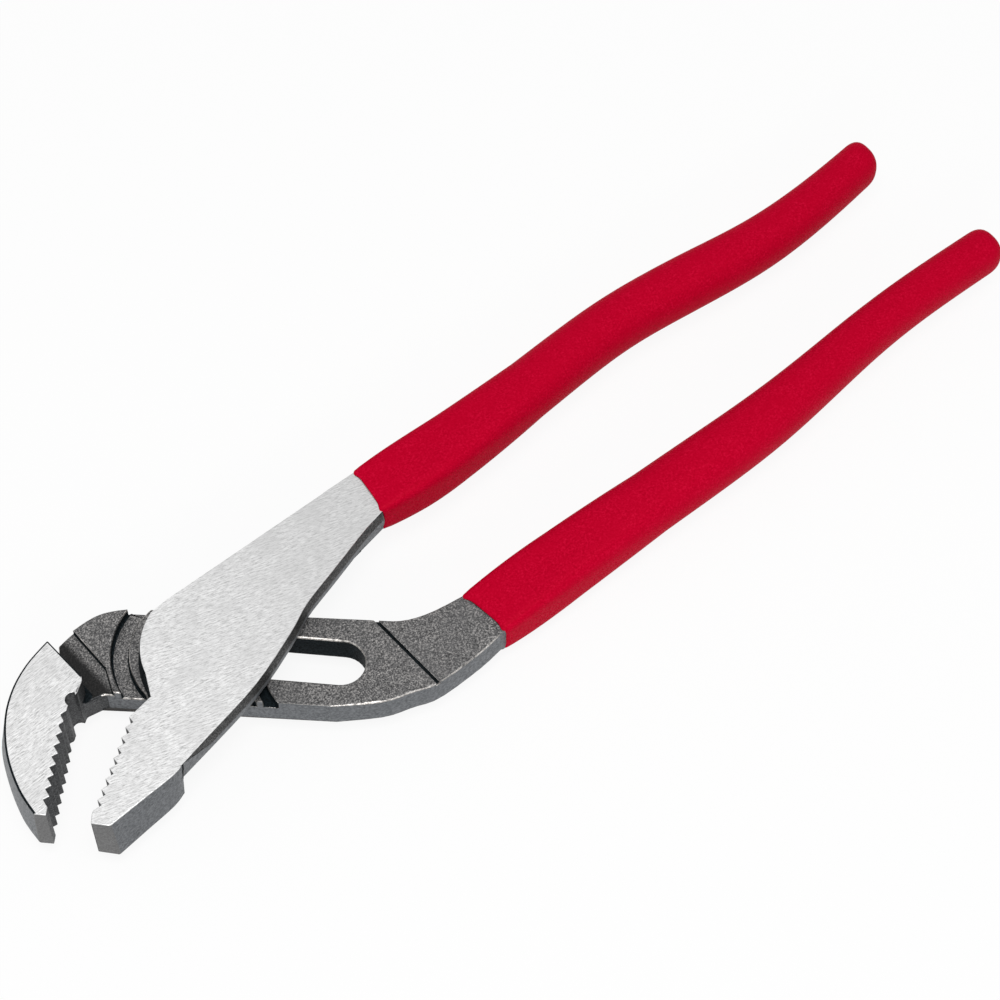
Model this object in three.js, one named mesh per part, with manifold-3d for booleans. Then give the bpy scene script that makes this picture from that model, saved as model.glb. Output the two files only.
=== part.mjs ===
// Water pump pliers: two forged halves, a stud that slides along a slot, and two dipped grips.
// Millimetres. +X runs along the tool towards the handles, +Z leaves the polished face.
// The origin is on the pivot axis, at the riveted end of the stud under the tool.
import * as THREE from 'three';
import { mergeVertices } from 'three/addons/utils/BufferGeometryUtils.js';
import Module from 'manifold-3d';

const wasm = await Module();
wasm.setup();

// Thicknesses and clearances
const jawThickness = 13.5;
const rearPlateThickness = 7.3;
const runningGap = 0.25;
const seatGap = 0.25;

// Pivot set
const studDiameter = 9.6;
const studSideGap = 0.3;
const studBoreDepth = 2.6;
const threadDiameter = 8;
const rivetedEnd = 0.4;
const nutAcrossFlats = 14;
const nutThickness = 3.4;
const nutChamfer = 0.7;
const washerDiameter = 17;
const washerThickness = 1.1;

// Slot, tongue and grooves: the tongue drops into one groove at each position of the stud
const slotAngle = -43;
const positionCount = 7;
const restPosition = 1;
const positionPitch = 4.7;
const slotOvertravel = 1.8;
const tongueRadius = 16.6;
const tongueWidth = 1.8;
const tongueHeight = 2.2;
const tongueArc = [172, 216];
const grooveSideGap = 0.25;
const grooveFloorGap = 0.3;
const grooveArc = [108, 252];
const firstGrooveExtra = 1.5;

// Teeth, the same on both jaws
const toothCount = 9;
const toothPitch = 2.42;
const toothDepth = 1.2;
const toothLean = 0.35;

// Rear jaw: its tooth line is that far behind the pivot, measured along the slot
const rearToothLine = -28.3;
const rearToothSetback = 9.3;
const rearNoseLand = 1.8;
const rearNoseWidth = 2.4;
const rearJawDepth = 12.2;
const rearJawDraft = 2.8;
const reliefRadius = 1.65;
const reliefSetback = 3.6;
const stepSetback = 5.4;
const stepWidth = 1.5;
const stepSlant = 0.5;

// Front jaw, in directions that are turned from the slot by the swing at rest
const restSwing = -9.75;
const frontToothLine = -11.8;
const frontFirstTooth = -23.1;
const frontNoseLand = 2.8;
const frontNoseWidth = 4.4;
const frontJawDepth = 13.9;
const frontHeelLength = 17.1;
const frontHeelRound = 2.7;
const heelTaper = 1;
const heelDraftShare = 0.6;
const heelLap = 0.06;
const frontNoseRound = 2;
const noseSlant = 0.5;
const throatWidth = 2.7;
const throatSetback = 6.5;
const flankWidth = 5.1;
const flankSetback = 1;
const shoulderWidth = 2.9;
const shoulderRise = 6;
const frontJawDraft = 1.2;

// Front joint plate
const edgeSetback = 0.5;
const edgeShift = 1.2;
const edgeArc = [220, 168];
const frontWall = 8.7;
const edgeCentre = 0.3;
const partingBulge = 0.45;
const partingShare = 0.5;
const innerEdgeDraft = 0.9;

// Rear joint plate
const upperRailAtJaw = 3.5;
const upperRailAtHandle = 5.7;
const lowerRailAtJaw = 6.2;
const lowerRailAtHandle = 5.2;
const rearNeckLength = 28.5;
const rearNeckRise = 14.75;
const bandDepth = 1.2;
const creaseSetback = 17.55;
const creaseSlant = 1.9;
const creaseReach = 9;
const creaseWidth = 0.7;
const creaseDepth = 0.6;

// Handles: the core of each follows the grip's middle line, one grip wall inside it
const frontMouth = new THREE.Vector2(46.2, 10.1);
const frontHandleLength = 143.4;
const rearHandleLength = 146;
const gripWidth = 14.5;
const gripHeight = 13;
const gripWall = 1.7;
const gripFitGap = 0.25;
const gripEndWall = 3;
const frontRootThickness = 7;
const frontRootWidth = 11.5;
const frontRootLength = 8;
const rootInset = 0.2;
const rootFlare = 1.9;
const rearRootWidth = 12.2;
const ringSides = 18;
const gripSteps = 22;
const endSteps = 4;

// Levels, from the riveted end up
const nutBottom = rivetedEnd;
const washerBottom = nutBottom + nutThickness + seatGap;
const backLevel = washerBottom + washerThickness + seatGap;
const mateLevel = backLevel + rearPlateThickness;
const frontUnderside = mateLevel + runningGap;
const topLevel = backLevel + jawThickness;
const midLevel = backLevel + jawThickness / 2;

const slotHalf = studDiameter / 2 + studSideGap;
const slotStart = -restPosition * positionPitch - slotOvertravel;
const slotEnd = (positionCount - 1 - restPosition) * positionPitch + slotOvertravel;
const edgeRadius = tongueRadius - edgeSetback;
const toothRow = toothPitch * (toothCount - toothLean);
const upperRailJaw = slotHalf + upperRailAtJaw;
const upperRailHandle = slotHalf + upperRailAtHandle;
const lowerRailJaw = -slotHalf - lowerRailAtJaw;
const lowerRailHandle = -slotHalf - lowerRailAtHandle;
const rearFirstTooth = lowerRailJaw - rearToothSetback;
const rearNoseEnd = rearFirstTooth - toothRow - rearNoseLand;
const frontNoseEnd = frontFirstTooth - toothRow - frontNoseLand;
const frontHandleRise = (jawThickness - frontRootThickness) / 2;
const rearHandleRise = (rearPlateThickness - jawThickness) / 2;

// Stations of each handle's middle line: share of its length, sideways offset, then shares of its rise at the
// mouth, of the grip's width and of the grip's height
const frontStations = [
  [0, 0, 1, 0.88, 0.66],
  [0.03, -0.15, 0.98, 0.955, 0.81],
  [0.086, -0.4, 0.94, 0.98, 0.89],
  [0.243, 1.4, 0.67, 0.905, 0.97],
  [0.428, 4.75, 0.3, 0.85, 1],
  [0.513, 5.65, 0.15, 0.835, 1],
  [0.632, 4.65, 0.09, 0.85, 1],
  [0.782, 2.95, 0.06, 0.785, 0.95],
  [0.926, 4.6, 0.06, 0.705, 0.89],
  [1, 6.3, 0.06, 0.68, 0.85],
];
const rearStations = [
  [0, 0, 1, 0.91, 0.68],
  [0.03, 0.15, 0.96, 0.965, 0.81],
  [0.1, 0.5, 0.87, 0.99, 0.89],
  [0.21, 0.8, 0.65, 0.97, 0.95],
  [0.304, 0.9, 0.45, 0.95, 0.985],
  [0.42, 1, 0.26, 0.93, 1],
  [0.536, 1.4, 0.1, 0.875, 1],
  [0.645, 3.1, 0.06, 0.785, 0.97],
  [0.762, 5.4, 0.06, 0.715, 0.92],
  [0.864, 6.5, 0.06, 0.69, 0.89],
  [1, 6.7, 0.06, 0.68, 0.85],
];
const squareCorner = 4.2;
const ovalCorner = 2.4;
const ovalStation = 4;

// Back of the rear jaw from nose to neck: share of the way up and of the depth, then how much of the draft
// its lower edge moves back and up by
const rearJawBack = [
  [0.13, 0.54, 0.25, -0.15],
  [0.315, 0.845, 0.45, -0.1],
  [0.515, 1, 0.9, 0],
  [0.69, 0.985, 1, 0.1],
  [0.85, 0.83, 0.9, 0.4],
  [1, 0.56, 0.4, 0.45],
];

// Top of the rear neck from jaw to rail: distance past the tooth line, drop below the rail
const neckLine = [
  [-5.9, 9.8],
  [-3.3, 6.2],
  [0.2, 2.8],
  [3.6, 1],
  [8.3, 0],
];
const neckTop = -3.9;

// Under the rear neck from rail to jaw: distance past the tooth line, drop below the lower rail
const throatLine = [
  [5.3, 0.3],
  [0.5, 3.6],
  [-2.7, 4],
];

// The lower band between the rear jaw and the neck: distance past the tooth line, drop below the upper rail
const bandLine = [
  [-11.7, 14.6],
  [-5.7, 4],
  [5, 14.4],
  [7.8, 20.9],
  [5.3, 25.9],
  [-4.7, 25.9],
];

// Rear half between slot and grip: on top, distance past the slot's end and rise above the rail; below,
// setback from the mouth and drop below its corner, then distance past the slot's end and rise above the rail
const handleTopLine = [
  [5.2, 0],
  [11.6, 0.6],
  [17.3, 3.2],
];
const handleUnderMouth = [
  [0, 0],
  [6.5, 1],
  [17.2, 1.4],
];
const handleUnderSlot = [
  [15.5, 4.9],
  [9.8, 2.1],
  [0, 0],
];

// Inner edge of the front half from grip to pivot: share of the way to the mouth, drop below its corner
const waistLine = [
  [0.868, 1.45],
  [0.609, 5.65],
  [0.42, 8.75],
  [0.276, 12.35],
];

// Turns a flat point from a jaw's own directions (along its slot, along its teeth) into the tool's frame
function turned(degrees) {
  const c = Math.cos(THREE.MathUtils.degToRad(degrees));
  const s = Math.sin(THREE.MathUtils.degToRad(degrees));
  return (u, v) => new THREE.Vector2(c * u - s * v, s * u + c * v);
}
const onSlot = turned(slotAngle);
const onFront = turned(slotAngle + restSwing);
const rearMouth = onSlot(slotEnd + rearNeckLength, rearNeckRise);

function handle(mouth, length, rise, stations) {
  return stations.map(([along, aside, lift, wide, tall]) => ({
    centre: new THREE.Vector3(mouth.x + along * length, mouth.y + aside, midLevel + lift * rise),
    halfWidth: (wide * gripWidth) / 2,
    halfHeight: (tall * gripHeight) / 2,
  }));
}
const frontHandle = handle(frontMouth, frontHandleLength, frontHandleRise, frontStations);
const rearHandle = handle(rearMouth, rearHandleLength, rearHandleRise, rearStations);

function solidOf(geometry) {
  const plain = geometry.clone();
  plain.deleteAttribute('normal');
  plain.deleteAttribute('uv');
  const merged = mergeVertices(plain, 1e-5);
  return new wasm.Manifold(new wasm.Mesh({
    numProp: 3,
    vertProperties: new Float32Array(merged.attributes.position.array),
    triVerts: new Uint32Array(merged.index.array),
  }));
}

function geometryOf(solid) {
  const mesh = solid.getMesh();
  const geometry = new THREE.BufferGeometry();
  geometry.setAttribute('position', new THREE.BufferAttribute(mesh.vertProperties, 3));
  geometry.setIndex(new THREE.BufferAttribute(mesh.triVerts, 1));
  geometry.computeVertexNormals();
  return geometry;
}

// A prism between two levels whose lower outline may differ from its upper one, point for point
function prism(upper, low, high, lower = upper) {
  const flip = THREE.ShapeUtils.isClockWise(upper);
  const top = flip ? [...upper].reverse() : upper;
  const bottom = flip ? [...lower].reverse() : lower;
  const count = top.length;
  const positions = [];
  top.forEach((p) => positions.push(p.x, p.y, high));
  bottom.forEach((p) => positions.push(p.x, p.y, low));
  const faces = [];
  THREE.ShapeUtils.triangulateShape(top, []).forEach(([a, b, c]) => faces.push(a, b, c));
  THREE.ShapeUtils.triangulateShape(bottom, []).forEach(([a, b, c]) => {
    faces.push(c + count, b + count, a + count);
  });
  for (let i = 0; i < count; i += 1) {
    const next = (i + 1) % count;
    faces.push(i, i + count, next + count, i, next + count, next);
  }
  const geometry = new THREE.BufferGeometry();
  geometry.setAttribute('position', new THREE.Float32BufferAttribute(positions, 3));
  geometry.setIndex(faces);
  return solidOf(geometry);
}

// The same outline moved outwards by a small distance, point for point
function swollen(outline, distance) {
  const side = THREE.ShapeUtils.isClockWise(outline) ? -1 : 1;
  return outline.map((p, i) => {
    const before = outline[(i + outline.length - 1) % outline.length];
    const after = outline[(i + 1) % outline.length];
    const along = after.clone().sub(before).normalize();
    return new THREE.Vector2(p.x + side * distance * along.y, p.y - side * distance * along.x);
  });
}

function upright(radiusLow, radiusHigh, low, high, sides) {
  const geometry = new THREE.CylinderGeometry(radiusHigh, radiusLow, high - low, sides);
  geometry.rotateX(Math.PI / 2);
  geometry.translate(0, 0, (low + high) / 2);
  return solidOf(geometry);
}

// Points along an arc about a centre on the slot's line, angles in degrees in the given directions
function arcPoints(place, centre, radius, [from, to], steps) {
  return Array.from({ length: steps + 1 }, (_, i) => {
    const angle = THREE.MathUtils.degToRad(from + ((to - from) * i) / steps);
    return place(centre + radius * Math.cos(angle), radius * Math.sin(angle));
  });
}

function ringSector(place, centre, inner, outer, span, low, high) {
  const steps = 28;
  const outside = arcPoints(place, centre, outer, span, steps);
  const inside = arcPoints(place, centre, inner, span, steps).reverse();
  return prism([...outside, ...inside], low, high);
}

function curvePoints(points, divisions) {
  return new THREE.SplineCurve(points).getPoints(divisions);
}

// A bar lofted along a handle's stations, drawn in by an inset and closed by a round end
function handleBar(stations, inset, startShift, endInset) {
  const line = new THREE.CatmullRomCurve3(stations.map(({ centre }) => centre));
  const size = new THREE.CatmullRomCurve3(stations.map(({ halfWidth, halfHeight }, i) => {
    const corner = THREE.MathUtils.lerp(squareCorner, ovalCorner, Math.min(1, i / ovalStation));
    return new THREE.Vector3(halfWidth - inset, halfHeight - inset, corner);
  }));
  const positions = [];
  const ring = (centre, along, halfWidth, halfHeight, corner) => {
    const across = new THREE.Vector3(-along.y, along.x, 0).normalize();
    for (let k = 0; k < ringSides; k += 1) {
      const angle = (2 * Math.PI * (k + 0.5)) / ringSides;
      const c = Math.cos(angle);
      const s = Math.sin(angle);
      const w = halfWidth * Math.sign(c) * Math.abs(c) ** (2 / corner);
      const h = halfHeight * Math.sign(s) * Math.abs(s) ** (2 / corner);
      positions.push(centre.x + across.x * w, centre.y + across.y * w, centre.z + h);
    }
  };
  for (let i = 0; i <= gripSteps; i += 1) {
    const t = i / gripSteps;
    const centre = line.getPoint(t);
    const along = line.getTangent(t);
    const s = size.getPoint(t);
    if (i === 0) {
      along.set(1, 0, 0);
      centre.x += startShift;
    }
    if (i === gripSteps) centre.addScaledVector(along, -Math.max(0, endInset - inset));
    ring(centre, along, s.x, s.y, s.z);
  }
  const tip = line.getPoint(1);
  const along = line.getTangent(1).setZ(0).normalize();
  const s = size.getPoint(1);
  tip.addScaledVector(along, -Math.max(0, endInset - inset));
  for (let i = 1; i <= endSteps; i += 1) {
    const angle = (Math.PI / 2) * (i / (endSteps + 1));
    const centre = tip.clone().addScaledVector(along, s.x * Math.sin(angle));
    ring(centre, along, s.x * Math.cos(angle), s.y * Math.cos(angle), s.z);
  }
  const rings = positions.length / 3 / ringSides;
  const start = line.getPoint(0);
  start.x += startShift;
  const end = tip.clone().addScaledVector(along, s.x);
  positions.push(start.x, start.y, start.z, end.x, end.y, end.z);
  const startIndex = rings * ringSides;
  const faces = [];
  for (let k = 0; k < ringSides; k += 1) {
    const next = (k + 1) % ringSides;
    faces.push(startIndex, next, k);
    const last = (rings - 1) * ringSides;
    faces.push(startIndex + 1, last + k, last + next);
    for (let r = 0; r < rings - 1; r += 1) {
      const a = r * ringSides + k;
      const b = r * ringSides + next;
      faces.push(a, b, b + ringSides, a, b + ringSides, a + ringSides);
    }
  }
  const geometry = new THREE.BufferGeometry();
  geometry.setAttribute('position', new THREE.Float32BufferAttribute(positions, 3));
  geometry.setIndex(faces);
  return solidOf(geometry);
}

// Leaning notches along a jaw's tooth line; outward says on which side of the line the gap lies
function toothCutter(place, line, first, outward) {
  const reach = 2;
  const notches = [];
  for (let i = 0; i < toothCount; i += 1) {
    const valley = first - i * toothPitch;
    notches.push(
      place(line, valley + toothPitch * toothLean),
      place(line - outward * toothDepth, valley),
    );
  }
  const lastTip = first + toothPitch * (toothLean - toothCount);
  const outline = [
    ...notches,
    place(line, lastTip),
    place(line + outward * reach, lastTip),
    place(line + outward * reach, first + toothPitch * toothLean),
  ];
  return prism(outline, backLevel - 1, topLevel + 1);
}

// The two corners where a half's bare steel ends, just short of its grip's mouth
function rootCorners(mouth, width) {
  return {
    upper: new THREE.Vector2(mouth.x - seatGap, mouth.y + width / 2),
    lower: new THREE.Vector2(mouth.x - seatGap, mouth.y - width / 2),
  };
}

// Rear half: jaw at full thickness, joint plate with slot and grooves, handle core
function rearHalf() {
  const root = rootCorners(rearMouth, rearRootWidth);
  const byTeeth = (past, v) => onSlot(rearToothLine + past, v);
  const handleTop = curvePoints([
    ...handleTopLine.map(([past, rise]) => onSlot(slotEnd + past, upperRailHandle + rise)),
    root.upper,
  ], 10);
  const handleUnder = curvePoints([
    ...handleUnderMouth.map(([back, drop]) => new THREE.Vector2(root.lower.x - back, root.lower.y - drop)),
    ...handleUnderSlot.map(([past, rise]) => onSlot(slotEnd + past, lowerRailHandle + rise)),
  ], 16);
  const plateOutline = [
    ...curvePoints(neckLine.map(([past, drop]) => byTeeth(past, upperRailJaw - drop)), 12),
    ...handleTop,
    ...handleUnder,
    ...throatLine.map(([past, drop]) => byTeeth(past, lowerRailJaw - drop)),
  ];
  let plate = prism(plateOutline, backLevel, mateLevel);

  const slotOutline = [
    ...arcPoints(onSlot, slotEnd, slotHalf, [-90, 90], 16),
    ...arcPoints(onSlot, slotStart, slotHalf, [90, 270], 16),
  ];
  plate = plate.subtract(prism(slotOutline, backLevel - 1, mateLevel + 1));

  const grooveFloor = mateLevel - tongueHeight - grooveFloorGap + runningGap;
  for (let i = 0; i < positionCount; i += 1) {
    const centre = (i - restPosition) * positionPitch;
    const outer = tongueRadius + grooveSideGap + (i === 0 ? firstGrooveExtra : 0);
    const inner = tongueRadius - tongueWidth - grooveSideGap;
    plate = plate.subtract(ringSector(onSlot, centre, inner, outer, grooveArc, grooveFloor, mateLevel + 1));
  }

  const band = bandLine.map(([past, drop]) => byTeeth(past, upperRailJaw - drop));
  plate = plate.subtract(prism(band, mateLevel - bandDepth, mateLevel + 1));

  const crease = [
    new THREE.Vector2(root.upper.x - creaseSetback - creaseSlant, root.upper.y + creaseReach),
    new THREE.Vector2(root.upper.x - creaseSetback - creaseSlant + creaseWidth, root.upper.y + creaseReach),
    new THREE.Vector2(root.lower.x - creaseSetback + creaseWidth, root.lower.y - creaseReach / 2),
    new THREE.Vector2(root.lower.x - creaseSetback, root.lower.y - creaseReach / 2),
  ];
  plate = plate.subtract(prism(crease, mateLevel - creaseDepth, mateLevel + 1));

  const jawOutline = (draft) => {
    const back = rearJawBack.map(([up, depth, out, lift]) => byTeeth(
      -depth * rearJawDepth - out * draft,
      THREE.MathUtils.lerp(rearNoseEnd, neckTop, up) + lift * draft,
    ));
    const noseBack = byTeeth(-rearNoseWidth - draft / 4, rearNoseEnd);
    return [
      byTeeth(0, rearFirstTooth + reliefSetback / 2),
      byTeeth(0, rearNoseEnd),
      ...curvePoints([noseBack, ...back], 30),
      byTeeth(stepWidth + stepSlant, lowerRailJaw - stepSlant),
      byTeeth(stepWidth, rearFirstTooth + stepSetback),
    ];
  };
  const reliefCentre = (u, v) => byTeeth(u + reliefRadius / 2, v + rearFirstTooth + reliefSetback);
  const relief = arcPoints(reliefCentre, 0, reliefRadius, [0, 345], 18);
  let half = plate.add(prism(jawOutline(0), backLevel, topLevel, jawOutline(rearJawDraft)));
  half = half.subtract(prism(relief, backLevel - 1, topLevel + 1));
  half = half.subtract(toothCutter(onSlot, rearToothLine, rearFirstTooth, 1));
  return half.add(handleBar(rearHandle, gripWall + gripFitGap, -3, gripEndWall));
}

// Front half: polished plate and jaw, tongue under the plate, blind bore for the stud, handle core
function frontHalf() {
  const root = rootCorners(frontMouth, frontRootWidth);
  const byTeeth = (past, v) => onFront(frontToothLine + past, v);
  const toothStart = frontFirstTooth + toothPitch * toothLean;
  const throat = byTeeth(throatWidth, frontFirstTooth + throatSetback);
  const heel = frontNoseEnd + frontHeelLength;
  const edge = arcPoints((u, v) => onFront(u, v - edgeShift), edgeCentre, edgeRadius, edgeArc, 20);
  const lowerEdge = curvePoints([
    root.lower,
    ...waistLine.map(([share, drop]) => new THREE.Vector2(share * root.lower.x, root.lower.y - drop)),
    new THREE.Vector2(0, -studDiameter / 2 - frontWall),
    onFront(flankWidth, frontFirstTooth + flankSetback),
  ], 24);
  const heelEnd = (draft) => byTeeth(frontJawDepth - heelDraftShare * draft, heel);
  const jawEdge = (draft) => {
    const noseBack = byTeeth(frontNoseWidth + draft / 2, frontNoseEnd + noseSlant);
    const inset = heelDraftShare * draft;
    const heelStart = byTeeth(frontJawDepth - heelTaper - inset, heel - frontHeelRound - inset);
    const middle = noseBack.clone().lerp(heelStart, 0.5);
    return [
      byTeeth(0, toothStart),
      byTeeth(0, frontNoseEnd + frontNoseRound),
      byTeeth(noseSlant, frontNoseEnd),
      ...curvePoints([noseBack, middle, heelStart, heelEnd(draft)], 12),
    ];
  };
  const sideEdge = [
    ...lowerEdge.reverse(),
    root.upper,
    onFront(shoulderWidth - edgeRadius, shoulderRise),
  ];
  const plateStart = (draft) => byTeeth(frontJawDepth - heelDraftShare * draft - heelLap, heel - heelLap);
  const plateOutline = [plateStart(0), ...sideEdge, ...edge.reverse(), throat];
  const plateAt = (level, sideSwell, innerSwell) => {
    const draft = (frontJawDraft * (topLevel - level)) / jawThickness;
    const side = swollen(plateOutline, sideSwell).slice(1, 1 + sideEdge.length);
    const inner = swollen(plateOutline, innerSwell).slice(1 + sideEdge.length, -1);
    side.forEach((p) => p.setX(Math.min(p.x, root.upper.x)));
    return [plateStart(draft), ...side, ...inner, throat];
  };
  const jawOutline = (draft) => [
    ...jawEdge(draft),
    byTeeth(frontJawDepth - heelTaper / 2 - draft, heel + 2 * heelTaper - draft),
    throat,
  ];
  const rootOutline = [
    new THREE.Vector2(root.upper.x - frontRootLength, root.upper.y - rootInset),
    root.upper,
    root.lower,
    new THREE.Vector2(root.lower.x - frontRootLength, root.lower.y - rootFlare),
  ];
  const tongue = ringSector(
    onFront,
    0,
    tongueRadius - tongueWidth,
    tongueRadius,
    tongueArc,
    frontUnderside - tongueHeight,
    frontUnderside + 1,
  );
  const bore = upright(
    studDiameter / 2 + seatGap,
    studDiameter / 2 + seatGap,
    frontUnderside - 1,
    frontUnderside + studBoreDepth,
    48,
  );
  const parting = THREE.MathUtils.lerp(frontUnderside, topLevel, partingShare);
  const bulged = plateAt(parting, partingBulge, innerEdgeDraft * (1 - partingShare));
  const underside = plateAt(frontUnderside, 0, innerEdgeDraft);
  let half = prism(plateOutline, parting, topLevel, bulged);
  half = half.add(prism(bulged, frontUnderside, parting, underside));
  half = half.add(prism(jawOutline(0), backLevel, topLevel, jawOutline(frontJawDraft)));
  half = half.add(prism(rootOutline, topLevel - frontRootThickness, topLevel));
  half = half.add(tongue);
  half = half.subtract(bore);
  half = half.subtract(toothCutter(onFront, frontToothLine, frontFirstTooth, -1));
  return half.add(handleBar(frontHandle, gripWall + gripFitGap, -3, gripEndWall));
}

// The stud: a shoulder that runs in the slot and the bore, and a thinner end through the washer and the nut
function pivotStud() {
  const shoulder = studDiameter / 2;
  const thread = threadDiameter / 2;
  const profile = [
    [0, 0],
    [thread - rivetedEnd, 0],
    [thread, rivetedEnd],
    [thread, backLevel],
    [shoulder, backLevel],
    [shoulder, frontUnderside + studBoreDepth - seatGap],
    [0, frontUnderside + studBoreDepth - seatGap],
  ];
  const geometry = new THREE.LatheGeometry(profile.map(([r, z]) => new THREE.Vector2(r, z)), 48);
  geometry.rotateX(Math.PI / 2);
  return solidOf(geometry);
}

function pivotWasher() {
  const hole = threadDiameter / 2 + seatGap;
  const rim = washerDiameter / 2;
  const washerTop = washerBottom + washerThickness;
  const disc = upright(rim, rim, washerBottom, washerTop, 48);
  return disc.subtract(upright(hole, hole, washerBottom - 1, washerTop + 1, 48));
}

function pivotNut() {
  const corner = nutAcrossFlats / 2 / Math.cos(Math.PI / 6);
  const hole = threadDiameter / 2 + seatGap;
  const nutTop = nutBottom + nutThickness;
  const prismBody = upright(corner, corner, nutBottom, nutTop, 6);
  const slope = nutAcrossFlats / 2 - nutChamfer / 2;
  const chamfered = upright(slope, slope + nutThickness * 2, nutBottom, nutTop, 48);
  return prismBody.intersect(chamfered).subtract(upright(hole, hole, nutBottom - 1, nutTop + 1, 48));
}

// A dipped sleeve: the outer bar less the space that its handle core fills
function grip(stations) {
  return handleBar(stations, 0, 0, 0).subtract(handleBar(stations, gripWall, -1, gripEndWall - gripFitGap));
}

const forged = { roughness: 0.6, metalness: 0.9 };
const polished = new THREE.MeshStandardMaterial({ color: 0xd8d9da, roughness: 0.3, metalness: 0.95 });
const darkForging = new THREE.MeshStandardMaterial({ color: 0x5c5d60, ...forged });
const plainSteel = new THREE.MeshStandardMaterial({ color: 0x77797c, ...forged });
const redVinyl = new THREE.MeshStandardMaterial({ color: 0xb4001f, roughness: 0.55, metalness: 0 });

const pliers = new THREE.Group();
function piece(name, solid, material) {
  const mesh = new THREE.Mesh(geometryOf(solid), material);
  mesh.name = name;
  pliers.add(mesh);
}
piece('front_half', frontHalf(), polished);
piece('rear_half', rearHalf(), darkForging);
piece('pivot_stud', pivotStud(), plainSteel);
piece('pivot_washer', pivotWasher(), plainSteel.clone());
piece('pivot_nut', pivotNut(), plainSteel.clone());
piece('front_grip', grip(frontHandle), redVinyl);
piece('rear_grip', grip(rearHandle), redVinyl.clone());

export default pliers;
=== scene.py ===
"""Looks of the water pump pliers: ground and blasted steel, worn edges and dipped red grips."""

import math

import bmesh
import bpy
import numpy as np
from mathutils import Matrix, Vector
from mathutils.bvhtree import BVHTree


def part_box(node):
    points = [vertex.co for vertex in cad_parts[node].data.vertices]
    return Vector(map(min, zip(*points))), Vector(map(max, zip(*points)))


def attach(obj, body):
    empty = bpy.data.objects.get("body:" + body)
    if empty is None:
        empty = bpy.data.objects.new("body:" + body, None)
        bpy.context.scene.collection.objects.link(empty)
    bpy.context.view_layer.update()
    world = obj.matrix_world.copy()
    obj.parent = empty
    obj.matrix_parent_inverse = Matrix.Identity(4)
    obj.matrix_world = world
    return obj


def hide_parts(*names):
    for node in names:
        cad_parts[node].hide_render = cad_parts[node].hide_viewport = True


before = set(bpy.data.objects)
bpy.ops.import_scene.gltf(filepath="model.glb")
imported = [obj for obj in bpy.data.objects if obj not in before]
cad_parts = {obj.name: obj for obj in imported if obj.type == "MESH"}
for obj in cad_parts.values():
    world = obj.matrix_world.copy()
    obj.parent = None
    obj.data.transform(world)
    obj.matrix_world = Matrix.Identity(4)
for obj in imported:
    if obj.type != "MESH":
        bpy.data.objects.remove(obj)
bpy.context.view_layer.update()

MM = 0.001

# The photograph's view: straight down tilted by TILT, with the tool turned by TURN in the picture
TILT = math.radians(32)
TURN = math.radians(37.498)
DISTANCE = 631.6 * MM
AIM = Vector((71.82, -2.06, 5.4)) * MM
LENS = 104.1

# Levels of the forgings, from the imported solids
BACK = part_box("rear_half")[0].z
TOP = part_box("rear_half")[1].z
REAR_PLATE = 7.3 * MM
MATE = BACK + REAR_PLATE

# Directions of each jaw: along its slot and along its teeth
SLOT_ANGLE = math.radians(-43)
REST_SWING = math.radians(-9.75)
REAR_TOOTH_LINE = -28.3 * MM
FRONT_TOOTH_LINE = -11.8 * MM
TOOTH_DEPTH = 1.2 * MM
SLOT_HALF = 5.1 * MM
SLOT_SPAN = (-6.5 * MM, 25.3 * MM)
SEAT_GAP = 0.25 * MM

# Regions of the rear half: U runs along its slot, V along its teeth with the nose at the low end
REAR_NOTCHES = (REAR_TOOTH_LINE - 1.5 * TOOTH_DEPTH, REAR_TOOTH_LINE + 5 * MM)
REAR_THROAT = (-30 * MM, -9 * MM)
REAR_STEP_END = REAR_TOOTH_LINE + 10 * MM
REAR_STRAY_END = REAR_TOOTH_LINE + 9 * MM
REAR_TEETH_WALL = -10 * MM
REAR_TEETH_RIM = -20 * MM
REAR_TEETH_EDGES = -24 * MM
REAR_NOSE_WALL = -40 * MM
REAR_NOSE_RIM = -42 * MM
TOOTH_SKIN = 0.3 * MM
SLOT_MARGIN = 6 * MM
SLOT_SKIN = 0.1 * MM

# Regions of the front half, in its own U and V
FRONT_TEETH_END = FRONT_TOOTH_LINE + 1.5 * TOOTH_DEPTH
FRONT_TEETH = -20 * MM
FRONT_HEEL_U = -9 * MM
FRONT_HEEL_V = -18 * MM
FRONT_BAND_END = -29 * MM
FRONT_NOSE_WALL = -44 * MM
FRONT_NOSE_RIM = -40 * MM

# Depths and heights that tell the edges and floors of the forgings apart
DEEP_GROOVE = 1.5 * MM
CREASE_FLOOR = (0.4 * MM, 0.8 * MM)
CREASE_HEIGHT = 0.8 * MM
LOW_STEP_HEIGHT = 1.6 * MM
STEP_HEIGHT = 4 * MM
TOOTH_HEIGHT = 5 * MM
LEVEL_RISE = 0.2 * MM
CORNER_RISE = 1 * MM
UPRIGHT_RISE = 4 * MM
REAR_TOP_BAND = 0.5 * MM
FRONT_TOP_BAND = 0.3 * MM
RIM_BAND = 0.6 * MM
LOW_RIM_BAND = 3 * MM

# Slopes of faces, as the upward or sideways share of their normal
LEVEL = 0.999
FACING_UP = 0.99
LEANING_UP = 0.7
FACING_NOSE = 0.98
FRONT_FACING_NOSE = 0.9
WALL_SLOPE = 0.5
STEEP = 0.3
SHEER = 0.2
DRAFT = 0.02
RUBBED_TOWARDS_NOSE = -0.25
RUBBED_TOWARDS_JAW = -0.45

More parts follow.
